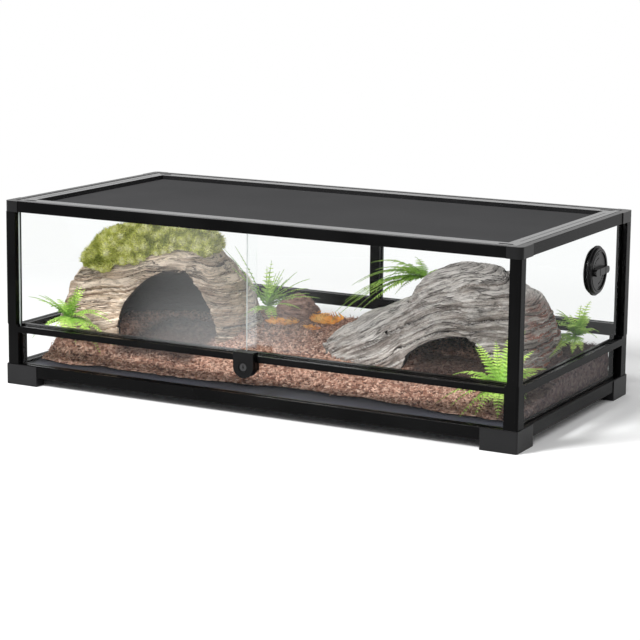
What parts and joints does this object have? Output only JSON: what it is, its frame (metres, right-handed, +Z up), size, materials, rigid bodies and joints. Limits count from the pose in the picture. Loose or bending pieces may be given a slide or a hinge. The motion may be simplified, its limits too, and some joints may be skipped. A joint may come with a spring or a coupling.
{
  "type": "reptile terrarium",
  "caption": "Low, wide glass terrarium with a black rail frame, sliding front doors, lift-out screen top, round side vent, key lock and a furnished floor.",
  "frame": {"origin": "on the ground under the middle of the tank, between its four feet", "axes": "+Z up, +X along the width to the side with the vent, -Y out of the sliding doors"},
  "size_m": [0.9191, 0.4648, 0.305],
  "materials": {
    "foot": "satin moulded",
    "frame": "black satin powder coat",
    "corner": "satin moulded",
    "base_panel": "fine matt",
    "glass": "clear polished",
    "door_glass": "clear polished",
    "screen_frame": "black satin powder coat",
    "screen_mesh": "dark woven wire",
    "vent": "satin moulded",
    "lock": "satin moulded",
    "lock_plug": "dark satin",
    "bedding": "shredded husk",
    "tan_rock": "cast and painted",
    "grey_rock": "cast and painted",
    "moss": "tufted",
    "fern": "soft moulded",
    "dry_leaf": "dry leaf",
    "bark": "rough bark"
  },
  "bodies": {
    "tank": {"foot_front_left": "foot", "foot_front_right": "foot", "foot_back_left": "foot", "foot_back_right": "foot", "base_rail_front": "frame", "base_rail_back": "frame", "base_rail_left": "frame", "base_rail_right": "frame", "lower_post_front_left": "frame", "lower_post_front_right": "frame", "lower_post_back_left": "frame", "lower_post_back_right": "frame", "mid_rail_front": "frame", "mid_rail_back": "frame", "mid_rail_left": "frame", "mid_rail_right": "frame", "upper_post_front_left": "frame", "upper_post_front_right": "frame", "upper_post_back_left": "frame", "upper_post_back_right": "frame", "back_centre_post": "frame", "top_rail_front": "frame", "top_rail_back": "frame", "top_rail_left": "frame", "top_rail_right": "frame", "top_corner_front_left": "corner", "top_corner_front_right": "corner", "top_corner_back_left": "corner", "top_corner_back_right": "corner", "base_panel": "base_panel", "lower_glass_front": "glass", "lower_glass_back": "glass", "lower_glass_left": "glass", "lower_glass_right": "glass", "side_glass_left": "glass", "side_glass_right": "glass", "back_glass_left": "glass", "back_glass_right": "glass", "vent_flange": "vent", "vent_inner_ring": "vent", "lock_housing": "lock", "lock_back_plate": "lock", "substrate": "bedding", "rock_hide_left": "tan_rock", "rock_hide_right": "grey_rock", "moss_mat": "moss", "fern_front_left": "fern", "fern_centre": "fern", "fern_on_rock": "fern", "fern_front_right": "fern", "fern_back_right": "fern", "dry_leaves": "dry_leaf", "bark_piece": "bark"},
    "door_left": {"door_glass_left": "door_glass"},
    "door_right": {"door_glass_right": "door_glass"},
    "screen": {"screen_rail_front": "screen_frame", "screen_rail_back": "screen_frame", "screen_rail_left": "screen_frame", "screen_rail_right": "screen_frame", "screen_mesh": "screen_mesh"},
    "vent_knob": {"vent_dial": "vent"},
    "lock_key": {"lock_plug": "lock_plug"}
  },
  "joints": [
    {"name": "left_door_slide", "type": "slide", "parent": "tank", "child": "door_left", "axis": [1, 0, 0], "range_m": [0, 0.424]},
    {"name": "right_door_slide", "type": "slide", "parent": "tank", "child": "door_right", "axis": [-1, 0, 0], "range_m": [0, 0.424]},
    {"name": "screen_lift", "type": "slide", "parent": "tank", "child": "screen", "axis": [0, 0, 1], "range_m": [0, 0.06]},
    {"name": "vent_turn", "type": "hinge", "parent": "tank", "child": "vent_knob", "pos_m": [0.4488, 0.088, 0.225], "axis": [1, 0, 0], "range_deg": [0, 90]},
    {"name": "lock_turn", "type": "hinge", "parent": "tank", "child": "lock_key", "pos_m": [0, -0.2323, 0.0795], "axis": [0, 1, 0], "range_deg": [0, 90]}
  ]
}
